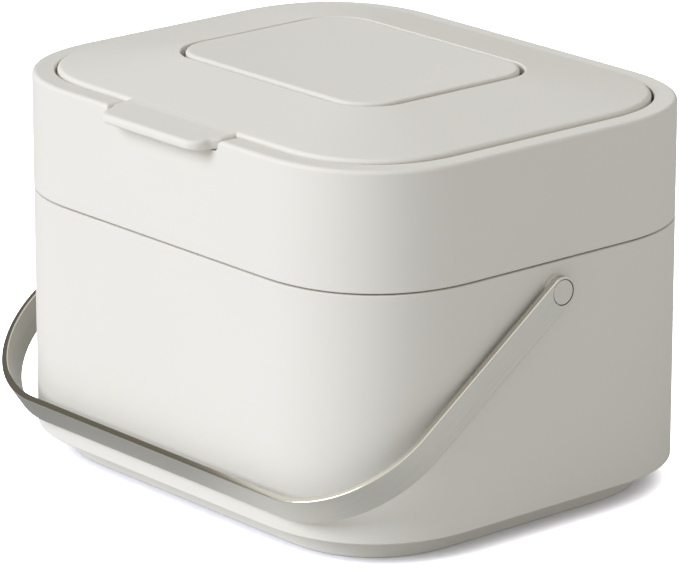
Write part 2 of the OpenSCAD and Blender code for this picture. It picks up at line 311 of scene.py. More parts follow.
def rounded(corners: Sequence[tuple], joined: bool = False) -> list[Point]:
    """Round the corners of a profile, with a support point on each side of each round.

    Args:
        corners: (x, z) or (x, z, radius) of each corner.
        joined: Whether the last corner joins the first.

    Returns:
        The profile's points.
    """
    count = len(corners)
    made: list[Point] = []
    for i, corner in enumerate(corners):
        here = Vector(corner[:2])
        inner = joined or 0 < i < count - 1
        if len(corner) < 3 or not inner:
            made.append(tuple(here))
            continue
        radius = corner[2]
        before = Vector(corners[i - 1][:2]) - here
        after = Vector(corners[(i + 1) % count][:2]) - here
        bend = before.angle(after)
        reach = radius / math.tan(bend / 2)
        a, b = before.normalized(), after.normalized()
        start, end = here + a * reach, here + b * reach
        middle = here + (a + b).normalized() * (radius / math.sin(bend / 2))
        quarters = (math.pi - bend) / math.radians(90)
        chords = round(quarters * (SOME_CHORDS + MORE_CHORDS * radius**0.5))
        steps = max(LEAST_CHORDS, chords)
        first = math.atan2(*(start - middle).yx)
        sweep = (math.atan2(*(end - middle).yx) - first + math.pi) % (2 * math.pi) - math.pi
        if before.length > reach + 3 * SUPPORT:
            made.append(tuple(start + a * SUPPORT))
        for k in range(steps + 1):
            t = first + sweep * k / steps
            made.append((middle.x + radius * math.cos(t), middle.y + radius * math.sin(t)))
        if after.length > reach + 3 * SUPPORT:
            made.append(tuple(end + b * SUPPORT))
    return made


# Finishes


@dataclass(frozen=True)
class Finish:
    """A finish of the caddy, whose material is built when it is first asked for."""

    name: str
    colour: str
    roughness: float
    tint: Point = (1.0, 1.0)
    spread: float = 0.0

    def tones(self) -> dict[int, tuple[float, ...]]:
        """Work out the colour's darker and lighter tone.

        Returns:
            The two colours of a Mix node.
        """
        base = linear(self.colour)[:3]
        dark, light = (tuple(min(1.0, c * t) for c in base) + (1.0,) for t in self.tint)
        return {6: dark, 7: light}

    def gloss(self) -> dict[int, float]:
        """The least and greatest roughness, as the two results of a Map Range node."""
        return {3: self.roughness - self.spread, 4: self.roughness + self.spread}

    def shader(self, add: Adder) -> Node:
        """Lay out the material's nodes.

        Args:
            add: Adds a node to the material.

        Returns:
            The shader.
        """
        raise NotImplementedError

    @cache
    def material(self) -> bpy.types.Material:
        """The finish as a material."""
        return new_material(self.name, self.shader)


@dataclass(frozen=True)
class MouldedPlastic(Finish):
    """Polypropylene from a spark-eroded mould.

    The grain of the mould scatters the light: wide, soft highlights on the edges, an even
    tone on the flats and no reflections.
    """

    name: str = "moulded_polypropylene_stone"
    colour: str = "#E6E3DB"
    roughness: float = 0.6
    tint: Point = (0.985, 1.015)
    spread: float = 0.05
    specular: float = 0.2
    grain_mm: float = 0.55
    relief_mm: float = 0.012
    # The plastic's flow into the mould shows as faint patches, fourteen to the metre
    flow_mm: float = 1000 / 14

    def shader(self, add: Adder) -> Node:
        """Lay out the grain and the flow.

        Args:
            add: Adds a node to the material.

        Returns:
            The shader.
        """
        place = add("ShaderNodeTexCoord").outputs["Object"]
        # The real grain is finer than a pixel, so it is drawn at about half a millimetre
        fine = {"Scale": 1 / (self.grain_mm * MM), "Detail": 3.0, "Roughness": 0.6}
        grain = add("ShaderNodeTexNoise", {"Vector": place, **fine})
        wide = {"Scale": 1 / (self.flow_mm * MM), "Detail": 2.0}
        flow = add("ShaderNodeTexNoise", {"Vector": place, **wide})
        tint = add("ShaderNodeMix", {0: flow, **self.tones()}, data_type="RGBA")
        gloss = add("ShaderNodeMapRange", {0: grain, **self.gloss()})
        relief = {"Strength": 0.5, "Distance": self.relief_mm * MM, "Height": grain}
        return add(
            "ShaderNodeBsdfPrincipled",
            {
                "Base Color": tint.outputs[2],
                "Roughness": gloss,
                "IOR": 1.49,
                "Specular IOR Level": self.specular,
                "Normal": add("ShaderNodeBump", relief),
            },
        )


@dataclass(frozen=True)
class BrushedSteel(Finish):
    """Stainless steel strip, brushed along its length.

    The scratches spread reflections across the strip, so its face has an even grey tone and
    its eased edges a thin bright line, partly from their gloss and partly painted in a lighter
    colour.
    """

    name: str = "stainless_steel_brushed"
    colour: str = "#BDBBB4"
    roughness: float = 0.34
    tint: Point = (0.8, 1.18)
    spread: float = 0.07
    streak_mm: float = 0.35
    streak_length_mm: float = 30.0
    relief_mm: float = 0.01
    edge_mm: float = 6.2
    edge_roughness: float = 0.13
    # A painted highlight: the edges' lighter colour
    edge_highlight_colour: str = "#D3D0C6"
    follows_uv: bool = True

    def shader(self, add: Adder) -> Node:
        """Lay out the streaks and, where they follow the strip, its smooth edges with a painted
        highlight colour.

        Args:
            add: Adds a node to the material.

        Returns:
            The shader.
        """
        place = add("ShaderNodeTexCoord").outputs["UV" if self.follows_uv else "Object"]
        # The strip's UV map is in millimetres, lengthwise in U
        unit = 1.0 if self.follows_uv else 1 / MM
        stretch = (unit / self.streak_length_mm, unit / self.streak_mm, unit / self.streak_mm)
        mapped = add("ShaderNodeMapping", {"Vector": place, "Scale": stretch})
        drawn = {"Vector": mapped, "Scale": 1.0, "Detail": 4.0, "Roughness": 0.65}
        streaks = add("ShaderNodeTexNoise", drawn)
        tint = add("ShaderNodeMix", {0: streaks, **self.tones()}, data_type="RGBA")
        gloss = add("ShaderNodeMapRange", {0: streaks, **self.gloss()})
        if self.follows_uv:
            # The strip's narrow edges are rolled smooth and were never brushed, so they are
            # glossier; their lighter colour is a painted highlight
            across = add("ShaderNodeSeparateXYZ", {0: place}).outputs[1]
            far = add("ShaderNodeMath", {0: across}, operation="ABSOLUTE")
            edge = add("ShaderNodeMath", {0: far, 1: self.edge_mm}, operation="GREATER_THAN")
            gloss = add("ShaderNodeMix", {0: edge, 2: gloss, 3: self.edge_roughness})
            highlit_edge = {0: edge, 6: tint.outputs[2], 7: linear(self.edge_highlight_colour)}
            tint = add("ShaderNodeMix", highlit_edge, data_type="RGBA")
        relief = {"Strength": 0.35, "Distance": self.relief_mm * MM, "Height": streaks}
        return add(
            "ShaderNodeBsdfPrincipled",
            {
                "Base Color": tint.outputs[2],
                "Metallic": 1.0,
                "Roughness": gloss,
                "Normal": add("ShaderNodeBump", relief),
            },
        )


@dataclass(frozen=True)
class WasherNylon(Finish):
    """Natural nylon washers, turned from rod: a little glossier than the moulded body."""

    name: str = "nylon_natural_turned"
    colour: str = "#D9D5CB"
    roughness: float = 0.4
    turning_mm: float = 0.8
    relief_mm: float = 0.01

    def shader(self, add: Adder) -> Node:
        """Lay out the marks of the turning.

        Args:
            add: Adds a node to the material.

        Returns:
            The shader.
        """
        place = add("ShaderNodeTexCoord").outputs["Object"]
        drawn = {"Vector": place, "Scale": 1 / (self.turning_mm * MM), "Detail": 2.0}
        marks = add("ShaderNodeTexNoise", drawn)
        relief = {"Strength": 0.3, "Distance": self.relief_mm * MM, "Height": marks}
        return add(
            "ShaderNodeBsdfPrincipled",
            {
                "Base Color": linear(self.colour),
                "Roughness": self.roughness,
                "IOR": 1.53,
                "Normal": add("ShaderNodeBump", relief),
            },
        )


@dataclass(frozen=True)
class CarbonFelt(Finish):
    """Needled felt of activated carbon fibre: black, without gloss, with loose hairs."""

    name: str = "carbon_fibre_felt"
    colour: str = "#232321"
    roughness: float = 0.95
    tint: Point = (0.6, 1.8)
    hair_mm: float = 0.5
    relief_mm: float = 0.25

    def shader(self, add: Adder) -> Node:
        """Lay out the hairs.

        Args:
            add: Adds a node to the material.

        Returns:
            The shader.
        """
        place = add("ShaderNodeTexCoord").outputs["Object"]
        drawn = {"Scale": 1 / (self.hair_mm * MM), "Detail": 5.0, "Distortion": 1.6}
        hairs = add("ShaderNodeTexNoise", {"Vector": place, **drawn})
        tint = add("ShaderNodeMix", {0: hairs, **self.tones()}, data_type="RGBA")
        relief = {"Strength": 0.9, "Distance": self.relief_mm * MM, "Height": hairs}
        return add(
            "ShaderNodeBsdfPrincipled",
            {
                "Base Color": tint.outputs[2],
                "Roughness": self.roughness,
                "Sheen Weight": 0.15,
                "Normal": add("ShaderNodeBump", relief),
            },
        )


PLASTIC, STEEL, NYLON, FELT = MouldedPlastic(), BrushedSteel(), WasherNylon(), CarbonFelt()
TURNED_STEEL = BrushedSteel("stainless_steel_turned", streak_length_mm=1.5, follows_uv=False)


# Geometry trees


def shell_layout(add: Adder, given: Sockets) -> Node:
    """Send every point of a moulded shell to its place on a rounded rectangle.

    Two outlines are known, the body's squared oval and the vent opening's round-cornered
    oblong, and a point's share says how far it lies from the first to the second.

    Args:
        add: Adds a node to the tree.
        given: The tree's inputs.

    Returns:
        The last node.
    """
    number, vector, three = "ShaderNodeMath", "ShaderNodeVectorMath", "ShaderNodeCombineXYZ"
    own = {}
    for name in ("angle", "side", "along", "inset", "opening_inset", "share", "height", "limit"):
        kind = "FLOAT_VECTOR" if name in ("side", "along") else "FLOAT"
        own[name] = add("GeometryNodeInputNamedAttribute", {"Name": name}, data_type=kind)
    places = []
    for outline, inset, squareness in (
        ("Body", own["inset"], given["Squareness"]),
        ("Opening", own["opening_inset"], 2.0),
    ):
        corner = given[f"{outline} Corner"]
        power = add(number, {0: 2.0, 1: squareness}, operation="DIVIDE")
        quarter, middle = {}, {}
        for axis, (turn, length) in enumerate((("COSINE", "Width"), ("SINE", "Depth"))):
            part = add(number, {0: own["angle"]}, operation=turn)
            part = add(number, {0: part, 1: 0.0}, operation="MAXIMUM")
            quarter[axis] = add(number, {0: part, 1: power}, operation="POWER")
            half = add(number, {0: given[f"{outline} {length}"], 1: 0.5}, operation="MULTIPLY")
            middle[axis] = add(number, {0: half, 1: corner}, operation="SUBTRACT")
        radius = add(number, {0: corner, 1: inset}, operation="SUBTRACT")
        bow = add(vector, {0: add(three, quarter), "Scale": radius}, operation="SCALE")
        bow = add(vector, {0: bow, 1: own["side"]}, operation="MULTIPLY")
        centre = add(vector, {0: add(three, middle), 1: own["along"]}, operation="MULTIPLY")
        places.append(add(vector, {0: bow, 1: centre}, operation="ADD"))
    ends = {0: own["share"], 4: places[0], 5: places[1]}
    mixed = add("ShaderNodeMix", ends, data_type="VECTOR").outputs[1]
    height = add(number, {0: own["height"], 1: own["limit"]}, operation="MINIMUM")
    place = add(vector, {0: mixed, 1: add(three, {2: height})}, operation="ADD")
    return add("GeometryNodeSetPosition", {"Geometry": given["Geometry"], "Position": place})


def slots_layout(add: Adder, given: Sockets) -> Node:
    """Cut one vent slot with round ends, and set it out in rows and columns.

    Args:
        add: Adds a node to the tree.
        given: The tree's inputs.

    Returns:
        The last node.
    """
    wide, long = given["Slot Width"], given["Slot Length"]
    area = {"Size X": given["Width"], "Size Y": given["Depth"]}
    area |= {"Vertices X": given["Columns"], "Vertices Y": given["Rows"]}
    oblong = add("GeometryNodeCurvePrimitiveQuadrilateral", {"Width": wide, "Height": long})
    radius = add("ShaderNodeMath", {0: wide, 1: SLOT_ROUND}, operation="MULTIPLY")
    ends = {"Curve": oblong, "Count": SLOT_CHORDS, "Radius": radius, "Limit Radius": True}
    outline = add("GeometryNodeFilletCurve", ends, mode="POLY")
    face = add("GeometryNodeFillCurve", {0: outline}, mode="NGONS")
    up = add("ShaderNodeCombineXYZ", {2: 1.0})
    depth = {"Mesh": face, "Offset": up, "Offset Scale": given["Slot Depth"]}
    walls, under = add("GeometryNodeExtrudeMesh", depth), add("GeometryNodeFlipFaces", {0: face})
    whole = add("GeometryNodeJoinGeometry", {0: [walls, under]})
    closed = add("GeometryNodeMergeByDistance", {"Geometry": whole, "Distance": MERGE})
    marks = add("GeometryNodeMeshGrid", area)
    copies = add("GeometryNodeInstanceOnPoints", {"Points": marks, "Instance": closed})
    lift = add("ShaderNodeCombineXYZ", {2: given["Height"]})
    return add("GeometryNodeTransform", {"Geometry": copies, "Translation": lift})


def copies_layout(add: Adder, given: Sockets) -> Node:
    """Set copies of a small piece at marked places, each turned as its place says.

    Args:
        add: Adds a node to the tree.
        given: The tree's inputs.

    Returns:
        The last node.
    """
    piece = add("GeometryNodeObjectInfo", {"Object": given["Piece"]}).outputs["Geometry"]
    turn = add("GeometryNodeInputNamedAttribute", {"Name": "turn"}, data_type="FLOAT_VECTOR")
    marks = {"Points": given["Geometry"], "Instance": piece, "Rotation": turn}
    return add("GeometryNodeInstanceOnPoints", marks)


def strap_layout(add: Adder, given: Sockets) -> Node:
    """Draw a flat strap along a bent path.

    Args:
        add: Adds a node to the tree.
        given: The tree's inputs.

    Returns:
        The last node.
    """
    path = add("GeometryNodeMeshToCurve", {"Mesh": given["Geometry"]})
    bend = {"Curve": path, "Count": BEND_CHORDS, "Radius": given["Bend Radius"]}
    bent = add("GeometryNodeFilletCurve", {**bend, "Limit Radius": True}, mode="POLY")
    level = add("GeometryNodeSetCurveNormal", {"Curve": bent}, mode="Z_UP")
    size = {"Width": given["Strap Thickness"], "Height": given["Strap Width"]}
    section = add("GeometryNodeCurvePrimitiveQuadrilateral", size)
    edge = {"Curve": section, "Count": EDGE_CHORDS, "Radius": given["Edge Radius"]}
    eased = add("GeometryNodeFilletCurve", {**edge, "Limit Radius": True}, mode="POLY")
    sweep = {"Curve": level, "Profile Curve": eased, "Fill Caps": True}
    return add("GeometryNodeCurveToMesh", sweep)


@dataclass(frozen=True)
class ShapeTree:
    """A geometry tree that is built once and run on many meshes."""

    name: str
    layout: Callable[[Adder, Sockets], Node]
    sizes: tuple[str, ...] = ()
    counts: tuple[str, ...] = ()
    pieces: tuple[str, ...] = ()

    @cache
    def built(self) -> bpy.types.NodeTree:
        """Build the tree, which ends in Realize Instances and Set Material.

        Returns:
            The tree.
        """
        tree = bpy.data.node_groups.new(self.name, "GeometryNodeTree")
        for kind, labels in (
            ("Geometry", ["Geometry"]),
            ("Float", self.sizes),
            ("Int", self.counts),
            ("Object", self.pieces),
            ("Material", ["Finish"]),
        ):
            for label in labels:
                tree.interface.new_socket(label, in_out="INPUT", socket_type=f"NodeSocket{kind}")
        tree.interface.new_socket("Geometry", in_out="OUTPUT", socket_type="NodeSocketGeometry")
        add = partial(add_node, tree)
        given = add("NodeGroupInput").outputs
        real = add("GeometryNodeRealizeInstances", {0: self.layout(add, given)})
        dressed = {"Geometry": real, "Material": given["Finish"]}
        add("NodeGroupOutput", {0: add("GeometryNodeSetMaterial", dressed)})
        return tree

    def grow(self, mesh: Mesh, finish: Finish, values: dict[str, object]) -> Mesh:
        """Run the tree on a mesh.

        Args:
            mesh: What goes into it.
            finish: The finish of the result.
            values: Input name to value.

        Returns:
            The result as a plain mesh.
        """
        thing = linked(mesh)
        modifier = thing.modifiers.new("shape", "NODES")
        modifier.node_group = self.built()
        values = {**values, "Finish": finish.material()}
        for item in modifier.node_group.interface.items_tree:
            if item.in_out == "INPUT" and item.name in values:
                modifier[item.identifier] = values[item.name]
        return settled(thing)


BODY_SIZES = ("Body Width", "Body Depth", "Body Corner", "Squareness")
OPENING_SIZES = ("Opening Width", "Opening Depth", "Opening Corner")
SLOT_SIZES = ("Slot Width", "Slot Length", "Slot Depth", "Width", "Depth", "Height")
STRAP_SIZES = ("Bend Radius", "Strap Width", "Strap Thickness", "Edge Radius")
SHELL = ShapeTree("moulded_shell", shell_layout, BODY_SIZES + OPENING_SIZES)
SLOTS = ShapeTree("vent_slots", slots_layout, SLOT_SIZES, ("Columns", "Rows"))
COPIES = ShapeTree("copies_at_places", copies_layout, pieces=("Piece",))
STRAP = ShapeTree("bent_strap", strap_layout, STRAP_SIZES)


# Outlines and shells


@dataclass(frozen=True)
class Station:
    """A place on the way round an outline.

    angle runs over a corner's quarter turn, side holds the signs of that corner, and along
    says where the corner's centre lies, from -1 to 1 in X and Y.
    """

    angle: float
    side: Point
    along: Point


@dataclass(frozen=True)
class Level:
    """One turn of a shell: how far in from an outline it lies, and at which height."""

    inset: float
    height: float
    opening_inset: float = 0.0
    share: float = 0.0
    hidden: bool = False


def opening_levels(path: Sequence[Point]) -> list[Level]:
    """The levels of a profile that follows the vent opening, as inset and height."""
    return [Level(0.0, z, x, 1.0) for x, z in path]


@dataclass
class Outlines:
    """The body's outline and the vent opening's, which all mouldings share."""

    width: float = 240.0
    depth: float = 198.0
    corner: float = 59.0
    squareness: float = 2.28
    opening_width: float = 123.0
    opening_depth: float = 93.0
    opening_corner: float = 18.0
    corner_steps: int = 30
    no_limit: float = 1e6

    def stations(self, front: Iterable[float] = ()) -> list[Station]:
        """List the places round the outline, anticlockwise from above.

        Args:
            front: Further places on the straight front, as X in millimetres.

        Returns:
            The stations.
        """
        half = self.width / 2 - self.corner
        quarter = [RIGHT_ANGLE * i / self.corner_steps for i in range(self.corner_steps + 1)]
        made: list[Station] = []
        for side in ((1, 1), (-1, 1), (-1, -1), (1, -1)):
            if side == (1, -1):
                made += [Station(RIGHT_ANGLE, side, (x / half, -1)) for x in sorted(front)]
            turns = quarter if side[0] == side[1] else quarter[::-1]
            made += [Station(t, side, side) for t in turns]
        return made

    def shell(
        self,
        finish: Finish,
        levels: Sequence[Level],
        ends: Ends,
        front: Sequence[float] = (),
        limits: Sequence[float] = (),
        skin: float = 0.0,
    ) -> Mesh:
        """Build a moulded shell with the shell tree.

        Args:
            finish: Its finish.
            levels: Its levels, up the outside first.
            ends: Whether the first and last level are capped or joined.
            front: Further places on the straight front.
            limits: The greatest height at each of those places.
            skin: How far hidden levels stay below such a limit.

        Returns:
            The shell's mesh, in millimetres.
        """
        stations = self.stations(front)
        n, m = len(stations), len(levels)
        faces = [
            (j * n + i, j * n + (i + 1) % n, (j + 1) % m * n + (i + 1) % n, (j + 1) % m * n + i)
            for j in range(m if ends is Ends.JOINED else m - 1)
            for i in range(n)
        ]
        if ends is Ends.CAPPED:
            faces += [tuple(range(n))[::-1], tuple(range((m - 1) * n, m * n))]
        mesh = mesh_of("shell", [ZERO] * (n * m), faces)
        tops = [self.no_limit] * n
        first = 3 * (self.corner_steps + 1)
        tops[first : first + len(front)] = limits
        values = {
            "angle": [s.angle for _ in levels for s in stations],
            "limit": [top - (skin if v.hidden else 0) for v in levels for top in tops],
        }
        for name in ("inset", "height", "opening_inset", "share"):
            values[name] = [getattr(v, name) for v in levels for _ in stations]
        for name, numbers in values.items():
            mesh.attributes.new(name, "FLOAT", "POINT").data.foreach_set("value", numbers)
        for name in ("side", "along"):
            flat = [c for _ in levels for s in stations for c in (*getattr(s, name), 0.0)]
            mesh.attributes.new(name, "FLOAT_VECTOR", "POINT").data.foreach_set("vector", flat)
        sizes = {"Squareness": self.squareness}
        for name in ("width", "depth", "corner"):
            sizes[f"Body {name.title()}"] = getattr(self, name)
            sizes[f"Opening {name.title()}"] = getattr(self, f"opening_{name}")
        made = SHELL.grow(mesh, finish, sizes)
        for name in (*values, "side", "along"):
            made.attributes.remove(made.attributes[name])
        return tidied(made)


def turned(finish: Finish, profile: Sequence[tuple], ends: Ends, steps: int = 16) -> Mesh:
    """Build a round piece about Z with the shell tree.

    Args:
        finish: Its finish.
        profile: (radius, height) or (radius, height, round) of each corner, up the outside.
        ends: Whether its ends are capped or joined.
        steps: Chords in a quarter turn.

    Returns:
        The mesh, in millimetres.
    """
    reach = max(p[0] for p in profile)
    points = rounded(profile, ends is Ends.JOINED)
    ring = Outlines(2 * reach, 2 * reach, reach, 2.0, corner_steps=steps)
    return ring.shell(finish, [Level(reach - r, z) for r, z in points], ends)


def copied(piece: Mesh, finish: Finish, places: Sequence[Place]) -> Mesh:
    """Set copies of a piece at places with the copies tree.

    Args:
        piece: The piece, about the origin.
        finish: Its finish.
        places: Position and turn of each copy.

    Returns:
        All copies in one mesh.
    """
    marks = mesh_of("places", [p for p, _ in places], [])
    turns = [c for _, turn in places for c in turn]
    marks.attributes.new("turn", "FLOAT_VECTOR", "POINT").data.foreach_set("vector", turns)
    model = linked(piece)
    made = COPIES.grow(marks, finish, {"Piece": model})
    bpy.data.objects.remove(model)
    return made


def seated(
    mesh: Mesh, name: str, body: str, nodes: Sequence[str], finish: Finish
) -> None:
    """Make a finished mesh a piece of the caddy, in metres, in place of its CAD nodes.

    Args:
        mesh: The mesh, in millimetres.
        name: The piece's name.
        body: The CAD body that it rides on.
        nodes: The CAD nodes that it stands for.
        finish: The finish.
    """
    work = bmesh.new()
    work.from_mesh(mesh)
    # Cut faces with many corners are split, so that every reader splits them the same way
    bmesh.ops.triangulate(work, faces=[f for f in work.faces if len(f.verts) > 4])
    work.to_mesh(mesh)
    work.free()
    mesh.transform(Matrix.Scale(MM, 4))
    mesh.materials.clear()
    mesh.materials.append(finish.material())
    mesh.polygons.foreach_set("material_index", [0] * len(mesh.polygons))
    mesh.polygons.foreach_set("use_smooth", [True] * len(mesh.polygons))
    mesh.set_sharp_from_angle(angle=SHARP_ANGLE)
    mesh.name = name
    piece = linked(mesh)
    piece.name = name
    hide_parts(*nodes)
    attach(piece, body)
    LOG.info("%s: %d faces on body %s", name, len(mesh.polygons), body)


# Sub-assemblies. The rows of a profile are its inset, its height and the corner's round


@dataclass
class Bucket:
    """The bucket: a recessed plinth, upright walls and the spigot that the collar stands on."""

    outlines: Outlines
    wall: float = 2.4
    seam: float = 113.0
    skirt: float = 10.8
    plinth_in: float = 12.8
    foot_in: float = 14.0
    foot_inner: float = 1.2
    under_in: float = 12.0
    floor_in: float = 14.0
    spigot_in: float = 2.7
    spigot_top: float = 124.0
    spigot: float = 2.0
    root: Point = (1.0, 3.7)

    def build(self) -> None:
        """Build the bucket and dress it."""
        inner, floor = self.spigot_in + self.spigot, self.skirt + self.wall
        profile = [
            (self.foot_in + self.under_in, 0.0),
            (self.foot_in, 0.0, 0.8),
            (self.plinth_in, self.skirt, 0.6),
            (0.0, self.skirt, 0.8),
            (0.0, self.seam, 0.4),
            (self.spigot_in, self.seam, 0.25),
            (self.spigot_in, self.spigot_top, 0.95),
            (inner, self.spigot_top, 0.95),
            (inner, self.seam - self.root[0], 0.8),
            (self.wall, self.seam - self.root[1], 0.8),
            (self.wall, floor, 3.0),
            (self.plinth_in + self.wall, floor, 1.2),
            (self.foot_in + self.foot_inner * self.wall, self.wall, 3.0),
            (self.foot_in + self.floor_in, self.wall),
        ]
        levels = [Level(x, z) for x, z in rounded(profile)]
        mesh = self.outlines.shell(PLASTIC, levels, Ends.CAPPED)
        seated(mesh, "bucket_shell", "bucket", ["bucket"], PLASTIC)


@dataclass
class Hinge:
    """The concealed lid hinge: hook-shaped arms under the lid, on pins in the collar's lugs."""

    x: float = 45.0
    y: float = 93.8
    z: float = 157.5
    pin: float = 1.05
    bore_reach: float = 20.0
    barrel: float = 2.2
    arm: float = 8.0
    web: float = 3.6
    hook_in: float = 7.485
    hook: float = 3.5
    hook_chords: int = 24
    overlap: float = 0.3
    slot: float = 4.5
    lug: float = 4.0
    lug_r: float = 2.8
    lug_chords: int = 8

    def bore(self) -> Mesh:
        """The bore for the right-hand pin."""
        outline = arc((self.y, self.z), self.pin, *CIRCLE)
        return prism(outline, self.x - self.bore_reach, self.x + self.bore_reach)

    def arm_mesh(self, edge_y: float, top: float) -> Mesh:
        """Build the right-hand arm.

        Args:
            edge_y: Where the lid's rear edge is.
            top: How high the hook runs, within the lid's skin.

        Returns:
            A closed mesh.
        """
        low, high = self.x - self.arm / 2, self.x + self.arm / 2
        centre, half = (self.y, self.z), self.web / 2
        outer, inner = self.hook_in + self.hook, self.hook_in
        reach = self.y - edge_y + self.overlap
        start = 180 - math.degrees(math.asin((top - self.z) / outer))
        inner_rise = math.sqrt(inner**2 - reach**2)
        inner_end = 180 - math.degrees(math.asin(inner_rise / inner))
        tip, outer_tip = (270 + math.degrees(math.asin(half / r)) for r in (inner, outer))
        hook = [(self.y - reach, top)]
        hook += arc(centre, outer, start, outer_tip, self.hook_chords)
        hook += arc(centre, inner, tip, inner_end, self.hook_chords)
        left, right, depth = self.y - half, self.y + half, inner + self.hook / 2
        foot = self.z - depth
        web = prism([(left, foot), (right, foot), (right, self.z), (left, self.z)], low, high)
        barrel = prism(arc(centre, self.barrel, *CIRCLE), low, high)
        made = cut(cut(prism(hook, low, high), web, Cut.ADD), barrel, Cut.ADD)
        return cut(made, self.bore(), Cut.REMOVE)

    def lugs(self, wall_y: float, top: float) -> list[Mesh]:
        """Build the two lugs beside the right-hand arm.

        Args:
            wall_y: How far back they run into the wall.
            top: How high they run into the rim.

        Returns:
            Two closed meshes.
        """
        outline = arc((self.y, self.z), self.lug_r, 180, 270, self.lug_chords)
        outline += [(wall_y, self.z - self.lug_r), (wall_y, top), (self.y - self.lug_r, top)]
        lows = (self.x - self.slot - self.lug, self.x + self.slot)
        lugs = [prism(outline, low, low + self.lug) for low in lows]
        return [cut(lug, self.bore(), Cut.REMOVE) for lug in lugs]


@dataclass
class Collar:
    """The upper band of the body: foot, flat rim, the ledge under the lid and the tab's notch."""

    outlines: Outlines
    hinge: Hinge
    wall: float = 2.4
    foot: float = 113.3
    groove_top: float = 113.8
    lap_in: float = 1.4
    rim: float = 163.0
    rim_w: float = 9.0
    ledge_w: float = 3.5
    rim_round: float = 1.8
    ledge: float = 155.7
    ledge_t: float = 2.2
    notch_half: float = 34.8
    notch_floor: float = 158.4
    notch_bend: float = 2.5
    notch_round: float = 2.0
    notch_chords: int = 9
    # No upright runs dead straight, so that no two places along the front share an X
    off_upright: float = 0.1
    # Levels further in than this past the rim, and this far under the ledge, are out of sight
    hidden_past: Point = (1.0, 0.5)
    slot_past: float = 5.0
    slot_drop: float = 8.0
    slot_roof: float = 2.2

    def levels(self) -> list[Level]:
        """List the band's levels, up its outside and down its inside.

        Returns:
            The levels, of which those from the ledge's round on are hidden.
        """
        lip, inside = self.rim_w + self.ledge_w, self.rim_w - self.wall
        under, roof = self.ledge - self.ledge_t, self.rim - self.wall
        profile = [
            (0.0, self.groove_top, 0.4),
            (0.0, self.rim, self.rim_round),
            (self.rim_w, self.rim, 0.5),
            (self.rim_w, self.ledge, 0.3),
            (lip, self.ledge, 0.4),
            (lip, under, 0.4),
            (inside, under, 0.4),
            (inside, roof, 0.6),
            (self.wall, roof, 0.8),
            (self.wall, self.foot, 0.2),
            (self.lap_in, self.foot, 0.15),
            (self.lap_in, self.groove_top, 0.15),
        ]
        inward, down = self.hidden_past
        made: list[Level] = []
        hidden = False
        for x, z in rounded(profile, joined=True):
            hidden = hidden or (x > self.rim_w + inward and z < self.ledge - down)
            made.append(Level(x, z, hidden=hidden))
        return made

    def front(self) -> tuple[list[float], list[float]]:
        """List the places along the front where the rim drops into the tab's notch.

        Returns:
            Each place's X, and the rim's height there.
        """
        edge, over = self.notch_half + self.notch_round, self.notch_round
        foot, under = self.notch_half - self.notch_bend, self.notch_bend
        off, chords = self.off_upright, self.notch_chords
        side = [(edge + SUPPORT, self.rim)]
        side += arc((edge, self.rim - over), over, 90, 180 - off, chords)
        side += arc((foot, self.notch_floor + under), under, -off, -90, chords)
        side += [(foot - SUPPORT, self.notch_floor)]
        places = sorted([(-x, z) for x, z in side] + side, key=lambda p: p[0])
        return [p[0] for p in places], [p[1] for p in places]

    def build(self) -> None:
        """Build the collar with its hinge lugs and dress it."""
        levels = self.levels()
        mesh = self.outlines.shell(PLASTIC, levels, Ends.JOINED, *self.front(), self.wall)
        back, hinge = self.outlines.depth / 2, self.hinge
        lip = back - self.rim_w - self.ledge_w
        gap = block(
            (hinge.x - hinge.slot, lip - self.slot_past, self.ledge - self.slot_drop),
            (hinge.x + hinge.slot, hinge.y, self.rim - self.slot_roof),
        )
        for slot in both(gap):
            mesh = cut(mesh, slot, Cut.REMOVE)
        for lug in hinge.lugs(back - self.wall / 2, self.rim - self.wall / 2):
            for twin in both(lug):
                mesh = cut(mesh, twin, Cut.ADD)
        seated(mesh, "collar_shell", "collar", ["collar"], PLASTIC)


